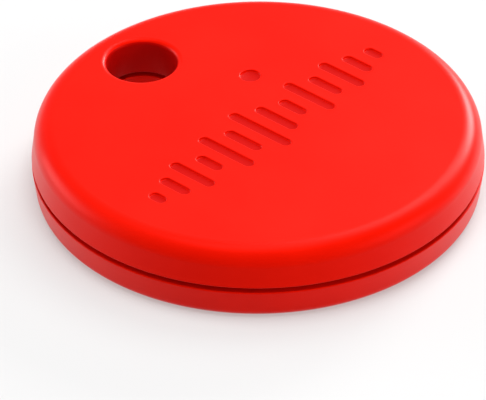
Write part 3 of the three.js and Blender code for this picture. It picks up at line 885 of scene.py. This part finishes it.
def cell_can():
    wall, shoulder, crimp = 0.25, 0.35, 9.15
    bm = bmesh.new()
    face, ceiling = skin(bm, circle(AT_CELL, 160), [
        (8.35, CELL_TOP - 0.03),
        *bend(8.6, CELL_TOP - 0.05, 0.05, 120, 90, 2),
        *bend(CELL_RADIUS - shoulder, CELL_TOP - shoulder, shoulder, 90, 0, 8),
        (CELL_RADIUS, CELL_BOTTOM + 0.6),
        *bend(CELL_RADIUS - 0.4, CELL_BOTTOM + 0.5, 0.38, 0, -80, 6),
        *bend(crimp + 0.11, CELL_BOTTOM + 0.23, 0.11, 270, 90, 5),
        *bend(CELL_RADIUS - 0.55, CELL_BOTTOM + 0.6, 0.26, -90, 0, 3),
        *bend(CELL_RADIUS - wall - 0.2, CELL_TOP - wall - 0.2, 0.2, 0, 90, 3),
    ])
    stamp, floor = skin(bm, plus_sign(1.6, 0.42, (AT_CELL[0], AT_CELL[1] + 5.2)), [
        (0.05, CELL_TOP - 0.03), (0.01, CELL_TOP - 0.045), (0, CELL_TOP - 0.09),
    ])
    fill(bm, face, stamp)
    fill(bm, floor)
    fill(bm, ceiling)
    piece("cell_can", bm, "cell", [CELL_STEEL], ["coin_cell_can"])


def cell_cap():
    bm = bmesh.new()
    radius, wall, edge, height = 8.7, 0.2, 0.25, 1.4
    low = CELL_BOTTOM
    pressed, inner = skin(bm, circle(AT_CELL, 128), [
        (6.9, low + 0.03),
        *bend(7.1, low + 0.05, 0.05, 240, 270, 2),
        *bend(radius - edge, low + edge, edge, 270, 360, 6),
        *bend(radius - wall / 2, low + height - wall / 2, wall / 2, 0, 180, 4),
        *bend(radius - wall - 0.12, low + wall + 0.12, 0.12, 0, -90, 3),
    ])
    fill(bm, pressed)
    fill(bm, inner)
    piece("cell_cap", bm, "cell", [CELL_STEEL], ["coin_cell_cap"])


def washer(name, node, body, material, inner, outer, centre, rounding):
    """A flat ring with rounded edges that fills a frame node's height."""
    low, high = heights(node)
    bm = bmesh.new()
    skin(bm, circle(centre, 128), [
        *bend(outer - rounding, low + rounding, rounding, -90, 0, 2),
        *bend(outer - rounding, high - rounding, rounding, 0, 90, 2),
        *bend(inner + rounding, high - rounding, rounding, 90, 180, 2),
        *bend(inner + rounding, low + rounding, rounding, 180, 270, 2),
    ], closed=True)
    piece(name, bm, body, [material], [node])


def disc_piece(name, node, body, material, rounding):
    """A flat disc with rounded edges, as wide and as high as a frame node."""
    low, high = heights(node)
    edge = half_width(node) - rounding
    bm = bmesh.new()
    block_out(bm, circle(above(node), 128), [
        *bend(edge, low + rounding, rounding, -90, 0, 3),
        *bend(edge, high - rounding, rounding, 0, 90, 3),
    ])
    piece(name, bm, body, [material], [node])


cell_can()
cell_cap()
washer("cell_seal", "coin_cell_seal", "cell", NYLON, 8.76, 9.08, AT_CELL, 0.06)
disc_piece("cell_lithium", "coin_cell_lithium", "cell", LITHIUM, 0.12)
disc_piece("cell_cathode", "coin_cell_cathode", "cell", CATHODE, 0.15)

# %% [markdown]
# ## Sounder
# The sounder is a brass disc with a thin ceramic wafer on it. The wafer's top is silvered so that a spring
# can touch it, and a bare rim of ceramic keeps the silver off the brass. A ring of glue film holds the
# disc to the inside of the back, which then sings along with it. The helpers that drew the cell's discs
# and its washer draw the brass and the glue too. The wafer has two layers, so it gets its own.

# %% Lay the sounder
def sounder_wafer():
    low, high = heights("piezo_ceramic")
    radius = half_width("piezo_ceramic")
    edge = 0.02
    fired = high - 0.015
    silver = radius - 0.45
    bm = bmesh.new()
    block_out(bm, circle(AT_CELL, 128), [
        (radius - edge, low), (radius, low + edge), (radius, fired - edge), (radius - edge, fired),
    ])
    block_out(bm, circle(AT_CELL, 128), [
        (silver, fired - 0.002), (silver, high - 0.004), (silver - 0.006, high),
    ], paint=1)
    piece("sounder_wafer", bm, "base", [FIRED, SILVERED], ["piezo_ceramic"])


disc_piece("sounder_plate", "piezo_plate", "base", BRASS, 0.03)
sounder_wafer()
washer("sounder_glue", "piezo_adhesive_ring", "base", GLUE, 10.0, 11.2, AT_CELL, 0.02)

# %% [markdown]
# ## Circuit board
# The board is a ring that fills the tray, cut away for the cell, the key-ring hole and four posts. What
# makes a board read as a board is what lies on it: a rail of copper round the rim, fans of lanes between
# the parts, small holes that join the two sides, and bare gold pads. These stand a few hundredths of a
# millimetre proud, as copper under solder mask does, so they are modelled. The glass weave below is only a
# faint bump.

# %% Etch the board
BATTERY_BAY = 10.4  # radii of what is cut out of the board
HOLE_ROOM = 4.8
POST_ROOM = 0.7
LANE = 0.16
COPPER_HEIGHT = 0.022


def ribbon(points, width):
    """The outline of a strip along a line of points, grown or shrunk by an offset."""

    def outline(offset):
        left, right = [], []
        for i, (x, y) in enumerate(points):
            before, after = points[max(i - 1, 0)], points[min(i + 1, len(points) - 1)]
            run = Vector((after[0] - before[0], after[1] - before[1])).normalized()
            half = width / 2 + offset
            left.append((x - run.y * half, y + run.x * half))
            right.append((x + run.y * half, y - run.x * half))
        return left + right[::-1]

    return outline


def raised(bm, outline, height, paint):
    """A thin layer on the board, with its top edge eased."""
    top = BOARD_TOP + height
    block_out(bm, outline, [
        (0, BOARD_TOP - 0.01), (0, BOARD_TOP + height * 0.6), (-0.012, top),
    ], paint)


def via(bm, x, y):
    """A plated hole: a low gold ring with a dimple in the middle."""
    top = BOARD_TOP + COPPER_HEIGHT + 0.004
    rim, dimple = skin(bm, circle((x, y), 16), [
        (0.24, BOARD_TOP - 0.01), (0.24, top - 0.008), (0.225, top), (0.12, top), (0.10, top - 0.02),
    ], paint=1)
    fill(bm, rim, paint=1)
    fill(bm, dimple, paint=1)


def lane(bm, start, end, radius, ends=(True, True)):
    """A copper lane that follows the board's rim between two bearings, with a via at chosen ends."""
    steps = max(4, round(abs(end - start) / 2))
    bearings = [start + (end - start) * i / steps for i in range(steps + 1)]
    raised(bm, ribbon([polar(radius, b) for b in bearings], LANE), COPPER_HEIGHT, 3)
    for bearing, wanted in zip((start, end), ends):
        if wanted:
            via(bm, *polar(radius, bearing))


def round_pad(centre, radius, steps=24):
    """A disc's outline, grown or shrunk by an offset."""
    rim = circle(centre, steps)
    return lambda offset: rim(radius + offset)


def lanes_and_pads(bm):
    lane(bm, 197, 394, 16.12)
    lane(bm, 214, 337, 15.80)
    for i in range(3):
        lane(bm, 21 + 2 * i, 30, 11.7 + 0.42 * i, (True, False))
        lane(bm, 328 + 3 * i, 347 - 2 * i, 12.1 + 0.45 * i)
        lane(bm, 195 - i, 213 - 3 * i, 12.3 + 0.45 * i)
        lane(bm, 144 + 3 * i, 168 - 2 * i, 11.2 + 0.42 * i)
        lane(bm, 251 + i, 266 - i, 14.3 + 0.42 * i)
        lane(bm, 274 + i, 289 - i, 14.3 + 0.42 * i)
    for bearing in (154, 159, 164):
        raised(bm, round_pad(polar(13.15, bearing), 0.4), COPPER_HEIGHT, 1)
    for bearing in (7, 11):
        via(bm, *polar(15.4, bearing))


print(f"board {2 * BOARD_RADIUS:.1f} mm across, {BOARD_TOP - BOARD_LOW:.1f} mm thick")

# %% [markdown]
# ## Solder
# Every part stands in its own solder: a thin pad of tin, a little wider than the metal that it holds. A
# part that only touched the board would look as if it had been dropped there. The pads' places and turns
# come from the frame, as the parts' own do. Then the board is cut out and everything is laid on it.

# %% Lay the solder and cut the board
SPRINGS_AT = (230, 310)  # bearings of the two springs that touch the cell's side
SPRING_FOOT = 11.85
SMALL_LENGTH, SMALL_WIDTH = 1.2, 0.7
ROWS = [("capacitor", range(1, 5), 42), ("capacitor", range(5, 7), 63), ("capacitor", range(7, 9), 90)]
ROWS += [("resistor", range(1, 3), 137), ("resistor", range(3, 5), 90)]
SMALL_PARTS = [(kind, f"{kind}_{number}", turn) for kind, numbers, turn in ROWS for number in numbers]


def bearing_of(node):
    centre = middle(node)
    return math.degrees(math.atan2(centre.y, centre.x))


def shifted(node, along, across, turn):
    """A point near a node's middle, measured along and across the way it lies."""
    centre = middle(node)
    a = math.radians(turn)
    return (
        centre.x + along * math.cos(a) - across * math.sin(a),
        centre.y + along * math.sin(a) + across * math.cos(a),
    )


def solder_pads(bm):
    """Tin under every metal end, so that each part stands in its own solder."""
    height = heights("bluetooth_chip")[0] - BOARD_TOP - 0.004
    for _, node, turn in SMALL_PARTS:
        for side in (1, -1):
            at = shifted(node, side * 0.55, 0, turn)
            raised(bm, rounded_box(0.5, SMALL_WIDTH + 0.06, 0.08, at, turn, 3), height, 2)
    for node, size in (("bluetooth_chip", 4.9), ("piezo_driver_chip", 2.5), ("boost_inductor", 3.9)):
        turn = 0 if node == "boost_inductor" else bearing_of(node)
        raised(bm, rounded_box(size + 0.3, size + 0.3, 0.2, above(node), turn), height, 2)
    for bearing in SPRINGS_AT:
        at = polar(SPRING_FOOT, bearing, AT_CELL)
        raised(bm, rounded_box(2.1, 2.9, 0.2, at, bearing), height, 2)
    long_parts = ("crystal_main", 2.1, 1.7), ("crystal_sleep", 1.6, 3.3), ("chip_antenna", 2.1, 7.2)
    for node, wide, deep in long_parts:
        turn = bearing_of(node)
        for side in (1, -1):
            at = shifted(node, 0, side * (deep / 2 - 0.4), turn)
            raised(bm, rounded_box(wide, 0.8, 0.1, at, turn, 3), height, 2)


def circuit_board():
    edge = 0.04
    board = solid_of(circle(steps=192), [
        (BOARD_RADIUS - edge, BOARD_LOW), (BOARD_RADIUS, BOARD_LOW + edge),
        (BOARD_RADIUS, BOARD_TOP - edge), (BOARD_RADIUS - edge, BOARD_TOP),
    ])
    cuts = [(AT_CELL, BATTERY_BAY, 160), (HOLE, HOLE_ROOM, HOLE_STEPS)]
    cuts += [(post, POST_ROOM, 28) for post in POSTS]
    for centre, radius, steps in cuts:
        drill = solid_of(circle(centre, steps), [(radius, BOARD_LOW - 1), (radius, BOARD_TOP + 1)])
        combine(board, drill, "DIFFERENCE")
    bm = opened(board)
    lanes_and_pads(bm)
    solder_pads(bm)
    piece("etched_board", bm, "base", [MASK, GOLD, TIN, MASK_ON_COPPER], ["circuit_board"])


circuit_board()

# %% [markdown]
# ## Parts on the board
# Each small part is a block, but no two kinds are alike up close. A leadless chip has a dimple that marks
# pin 1 and a row of metal ends along each side. A crystal is a metal lid on a ceramic tray. Capacitors and
# resistors have wrapped metal ends that swell a little past the body. One helper per kind draws them all,
# with the place and the turn taken from the frame.

# %% Set the small parts
def end_capped(name, node, length, width, cap, turn, materials):
    """A ceramic block with a wrapped metal cap on each end."""
    low, high = heights(node)
    bm = bmesh.new()
    shrink, soft = 0.03, 0.05
    top = high - shrink
    block_out(bm, rounded_box(length - 0.1, width, 0.05, above(node), turn, 3), [
        (-shrink, low + 0.01), (-shrink, top - soft), (-shrink - soft * 0.3, top - soft * 0.3),
        (-shrink - soft, top), (-shrink - soft - MARGIN, top),
    ])
    for side in (1, -1):
        at = shifted(node, side * (length - cap) / 2, 0, turn)
        block_out(bm, rounded_box(cap, width, soft, at, turn, 4), [
            *bend(-soft, low + soft, soft, -90, 0, 3),
            *bend(-soft, high - soft, soft, 0, 90, 3),
            (-soft - MARGIN / 2, high),
        ], paint=1)
    return piece(name, bm, "base", materials, [node])


def chip(name, node, size, pins, pitch):
    """A leadless chip: resin with a pin-1 dimple, and metal ends along its four sides."""
    turn = bearing_of(node)
    low, high = heights(node)
    bm = bmesh.new()
    step = 0.1
    rim, top = skin(bm, rounded_box(size, size, 0.06, above(node), turn, 3), [
        (-0.02, low + 0.02), (-0.02, high - step - 0.03), (-0.05, high - step),
        (-step + 0.01, high - 0.02), (-step - 0.02, high),
    ])
    fill(bm, rim)
    corner = size / 2 - 0.45 * size / 2.6
    mark, floor = skin(bm, circle(shifted(node, -corner, corner, turn), 24), [
        (0.05 * size, high), (0.045 * size, high - 0.03), (0.02 * size, high - 0.035),
    ])
    fill(bm, top, mark)
    fill(bm, floor)
    for side in range(4):
        for i in range(pins):
            across = (i - (pins - 1) / 2) * pitch
            facing = turn + 90 * side
            at = shifted(node, size / 2 - 0.1, across, facing)
            end = rounded_box(0.2, pitch * 0.5, 0.03, at, facing, 2)
            block_out(bm, end, [(0, low), (0, low + 0.16), (-0.015, low + 0.18)], paint=1)
    piece(name, bm, "base", [RESIN, TIN], [node])


def crystal(name, node, wide, deep):
    """A metal lid on a ceramic tray."""
    turn = bearing_of(node)
    low, high = heights(node)
    split = low + 0.45 * (high - low)
    at = above(node)
    bm = bmesh.new()
    block_out(bm, rounded_box(wide, deep, 0.12, at, turn, 4), [
        (-0.01, low), (0, low + 0.02), (0, split - 0.02), (-0.03, split),
    ], paint=1)
    block_out(bm, rounded_box(wide, deep, 0.16, at, turn, 5), [
        (-0.04, split - 0.01), (-0.04, split + 0.03), (-0.11, split + 0.05),
        *bend(-0.17, high - 0.06, 0.06, 0, 90, 3),
    ])
    piece(name, bm, "base", [NICKEL, FIRED], [node])


SMALL_LOOKS = {"capacitor": (TAN, 0.3), "resistor": (GLAZE, 0.25)}  # finish and length of each cap
for kind, node, turn in SMALL_PARTS:
    body_finish, cap = SMALL_LOOKS[kind]
    paints = [body_finish, TIN]
    end_capped(f"chip_{node}", node, SMALL_LENGTH, SMALL_WIDTH, cap, turn, paints)
chip("radio_chip", "bluetooth_chip", 5.0, 8, 0.5)
chip("sounder_driver", "piezo_driver_chip", 2.6, 4, 0.5)
crystal("main_crystal", "crystal_main", 2.0, 1.6)
crystal("sleep_crystal", "crystal_sleep", 1.5, 3.2)

# %% [markdown]
# ## Antenna and coil
# The antenna is a white ceramic bar with a silver line printed on it, folded back and forth so that a long
# line fits a short bar. The coil of the boost supply is copper wire wound on a ferrite bobbin: the turns
# are what the eye looks for, so the winding's profile is a row of half circles, one for each turn.

# %% Wind the coil and print the antenna
def arced(path, radius, steps=4):
    """The same line with each corner replaced by a short curve."""
    made = [Vector(path[0])]
    for before, corner, after in zip(path, path[1:], path[2:]):
        before, corner, after = Vector(before), Vector(corner), Vector(after)
        into, out = corner - before, after - corner
        start = corner - into.normalized() * min(radius, into.length * 0.45)
        end = corner + out.normalized() * min(radius, out.length * 0.45)
        for i in range(steps + 1):
            t = i / steps
            made.append(start * (1 - t) ** 2 + corner * 2 * t * (1 - t) + end * t ** 2)
    made.append(Vector(path[-1]))
    return made


def antenna():
    node, length, width, cap = "chip_antenna", 7.0, 2.0, 0.6
    turn = bearing_of(node) + 90
    paints = [WHITE_CERAMIC, SILVERED]
    made = end_capped("antenna", node, length, width, cap, turn, paints)
    bm = bmesh.new()
    bm.from_mesh(made.data)
    top = heights(node)[1] - 0.03
    folds, reach = 9, 0.62
    pitch = (length - 2 * cap - 0.5) / (folds - 1)
    line = []
    for i in range(folds):
        along = (i - (folds - 1) / 2) * pitch
        side = 1 if i % 2 else -1
        line.append(shifted(node, along, side * reach, turn))
        line.append(shifted(node, along, -side * reach, turn))
    print_line = ribbon(arced(line, 0.15, 3), 0.18)
    block_out(bm, print_line, [(0, top - 0.01), (0, top + 0.012), (-0.01, top + 0.016)], paint=1)
    bmesh.ops.recalc_face_normals(bm, faces=bm.faces)
    bm.to_mesh(made.data)
    bm.free()
    made.data.set_sharp_from_angle(angle=CREASE)


def coil():
    node = "boost_inductor"
    low, high = heights(node)
    at = above(node)
    bm = bmesh.new()
    block_out(bm, rounded_box(4.0, 4.0, 0.5, at, 0, 6), [
        (-0.04, low), (0, low + 0.04), (0, low + 0.24), (-0.06, low + 0.3),
    ])
    block_out(bm, circle(at, 64), [(1.5, low + 0.2), (1.5, high - 0.2)])
    block_out(bm, circle(at, 72), [
        *bend(1.9 - 0.05, high - 0.35, 0.05, -90, 0, 2),
        *bend(1.9 - 0.08, high - 0.08, 0.08, 0, 90, 3),
        (0.35, high), (0.3, high - 0.05),
    ])
    turns = 4
    wire = (high - 0.4 - (low + 0.3)) / turns / 2
    winding = []
    for i in range(turns):
        winding += bend(1.75 - wire, low + 0.3 + wire * (2 * i + 1), wire, -85, 85, 6)
    block_out(bm, circle(at, 72), winding, paint=1)
    for side in (1, -1):
        foot = rounded_box(0.5, 1.6, 0.08, (at[0] + side * 1.76, at[1]), 0, 3)
        block_out(bm, foot, [(0, low - 0.005), (0, low + 0.1), (-0.02, low + 0.12)], paint=2)
    piece("boost_coil", bm, "base", [FERRITE, COPPER, TIN], [node])


antenna()
coil()

# %% [markdown]
# ## Sheet-metal springs
# The battery contacts and the sounder's fingers are stamped from thin strip and bent. A strip is a small
# rounded section pushed along a bent line, with every bend an arc, because metal folded sharply would
# crack. The leaf under the cell is one wide strip with a window punched in it and two tongues that push up
# on the cap.

# %% Bend the springs
def bent_strip(bm, path, thickness, width, bearing, across=0.0, bend_radius=0.3):
    """A strip with rounded corners along a line of (distance from the cell's middle, height) points."""
    line = arced(path, bend_radius)
    section = rounded_box(width, thickness, 0.035, steps=2)(0)
    c, s = math.cos(math.radians(bearing)), math.sin(math.radians(bearing))
    rings = []
    for i, point in enumerate(line):
        run = (line[min(i + 1, len(line) - 1)] - line[max(i - 1, 0)]).normalized()
        ring = []
        for u, v in section:
            out, height = point.x - run.y * v, point.y + run.x * v
            x = AT_CELL[0] + c * out - s * (across + u)
            y = AT_CELL[1] + s * out + c * (across + u)
            ring.append(bm.verts.new((x * MM, y * MM, height * MM)))
        rings.append(ring)
    stitch(bm, rings)
    bm.faces.new(rings[0])
    bm.faces.new(rings[-1])


ON_BOARD = heights("bluetooth_chip")[0]
UNDER_BOARD = BOARD_LOW - 0.05


def battery_spring(name, node, bearing):
    """A foot, an upright wall and an arm that leans in to the side of the can."""
    sheet, wall = 0.15, 10.83
    bm = bmesh.new()
    foot = ON_BOARD + sheet / 2
    upright = [(12.75, foot), (wall, foot), (wall, ON_BOARD + 1.35)]
    bent_strip(bm, upright, sheet, 2.6, bearing, bend_radius=0.2)
    arm = [(10.11, 0.95), (10.3, 1.2), (10.57, 1.33), (wall, 1.28)]
    arm = [(out, ON_BOARD + up) for out, up in arm]
    bent_strip(bm, arm, sheet, 1.2, bearing, bend_radius=0.2)
    piece(name, bm, "base", [NICKEL], [node])


def battery_leaf():
    sheet, flat, crest = 0.15, CELL_BOTTOM - 0.2, CELL_BOTTOM - 0.125
    foot = UNDER_BOARD - sheet / 2
    bm = bmesh.new()
    bent_strip(bm, [(12.4, foot), (10.7, foot), (9.6, flat), (3.0, flat)], sheet, 5.0, 270)
    leaf = loose("leaf", bm)
    window = rounded_box(2.0, 3.4, 0.4, (AT_CELL[0], AT_CELL[1] - 5.6))
    combine(leaf, solid_of(window, [(0, flat - 1), (0, flat + 1)]), "DIFFERENCE")
    for across in (1.4, -1.4):
        tongue = bmesh.new()
        line = [(3.2, flat), (1.2, flat), (-1.2, crest), (-2.0, crest), (-2.8, flat)]
        bent_strip(tongue, line, sheet, 1.3, 270, across)
        combine(leaf, loose("tongue", tongue), "UNION")
    piece("battery_leaf", cleaned(leaf), "base", [NICKEL], ["battery_contact_negative"])


def sounder_finger(name, node, bearing, tip, rest):
    """Soldered under the board, then down and in until its curled tip rests on the sounder."""
    sheet, foot = 0.12, UNDER_BOARD - 0.06
    touch = rest + 0.02 + sheet / 2
    curl = [(tip - 0.6, touch + 0.14), (tip - 0.1, touch), (tip + 0.3, touch)]
    line = [*curl, (10.1, 1.42), (10.8, foot), (12.6, foot)]
    bm = bmesh.new()
    bent_strip(bm, line, sheet, 1.2, bearing)
    piece(name, bm, "base", [GOLD], [node])


for side, bearing in zip(("left", "right"), SPRINGS_AT):
    battery_spring(f"battery_spring_{side}", f"battery_contact_positive_{side}", bearing)
battery_leaf()
sounder_finger("sounder_finger_plate", "piezo_contact_plate", 150, 9.3, heights("piezo_plate")[1])
sounder_finger("sounder_finger_wafer", "piezo_contact_ceramic", 30, 7.2, heights("piezo_ceramic")[1])

# %% [markdown]
# ## Switch
# Under the front shell's post sits a small sealed switch: a moulded tray with solder feet, a snap dome
# that clicks, a thin steel plate that holds it all, and a stem that pokes through. The stem is its own
# piece because it moves with the cover; the dome is a shallow crown, flat enough to snap and round enough
# to spring back. The tray's well is a second outline inside the first, so it needs no cutting.

# %% Build the switch
def switch_tray():
    """A tray with a well for the dome, and four solder feet."""
    low, high = heights("switch_base")
    at = above("switch_base")
    width, length, floor, soft = 3.6, 4.2, low + 0.15, 0.06
    bm = bmesh.new()
    under, rim = skin(bm, rounded_box(width, length, 0.2, at), [
        (-soft, low), (0, low + soft), *bend(-soft, high - soft, soft, 0, 90, 3),
    ])
    mouth, well = skin(bm, rounded_box(width - 0.7, length - 0.9, 0.3, at), [
        *bend(soft, high - soft, soft, 90, 180, 3), *bend(-soft, floor + soft, soft, 0, -90, 2),
    ])
    fill(bm, under)
    fill(bm, rim, mouth)
    fill(bm, well)
    for right in (1, -1):
        for far in (1, -1):
            foot = (at[0] + right * (width / 2 + 0.25), at[1] + far * (length / 2 - 0.8))
            block_out(bm, rounded_box(0.7, 0.8, 0.08, foot, 0, 3), [
                (-0.02, low), (0, low + 0.02), (0, low + 0.11), (-0.02, low + 0.13),
            ], paint=1)
    piece("switch_tray", bm, "base", [MOULDED, TIN], ["switch_base"])


def switch_cover_plate():
    low, high = span("switch_plate")
    at = above("switch_plate")
    edge, hole = 0.03, 0.93
    bm = bmesh.new()
    under, top = skin(bm, rounded_box(high.x - low.x, high.y - low.y, 0.25, at), [
        (-edge, low.z), (0, low.z + edge), (0, high.z - edge), (-edge, high.z),
    ])
    mouth, throat = skin(bm, circle(at, 48), [
        (hole + edge, high.z), (hole, high.z - edge), (hole, low.z + edge), (hole + edge, low.z),
    ])
    fill(bm, top, mouth)
    fill(bm, under, throat)
    piece("switch_cover_plate", bm, "base", [SPRING], ["switch_plate"])


def switch_dome():
    low, high = heights("switch_dome")
    radius, height = half_width("switch_dome"), high - low
    crown = [polar(1, bearing) for bearing in range(0, 81, 8)]
    crown = [(radius * out, low + height * up) for out, up in crown]
    bm = bmesh.new()
    block_out(bm, circle(above("switch_dome"), 64), [(radius - 0.03, low), *crown])
    piece("snap_dome", bm, "base", [SPRING], ["switch_dome"])


def switch_stem():
    low, high = heights("switch_plunger")
    flange, stem, ease = 1.15, 0.85, 0.04
    bm = bmesh.new()
    block_out(bm, circle(above("switch_plunger"), 64), [
        (0.55, low), (0.7, low + 0.02),
        *bend(flange - ease, low + 0.02 + ease, ease, -90, 0, 2),
        *bend(flange - ease, low + 0.25 - ease, ease, 0, 90, 2),
        *bend(stem + 0.06, low + 0.25 + 0.06, 0.06, 270, 180, 3),
        *bend(stem - 0.12, high - 0.12, 0.12, 0, 90, 5),
    ])
    piece("switch_stem", bm, "plunger", [MOULDED], ["switch_plunger"])


switch_tray()
switch_dome()
switch_cover_plate()
switch_stem()
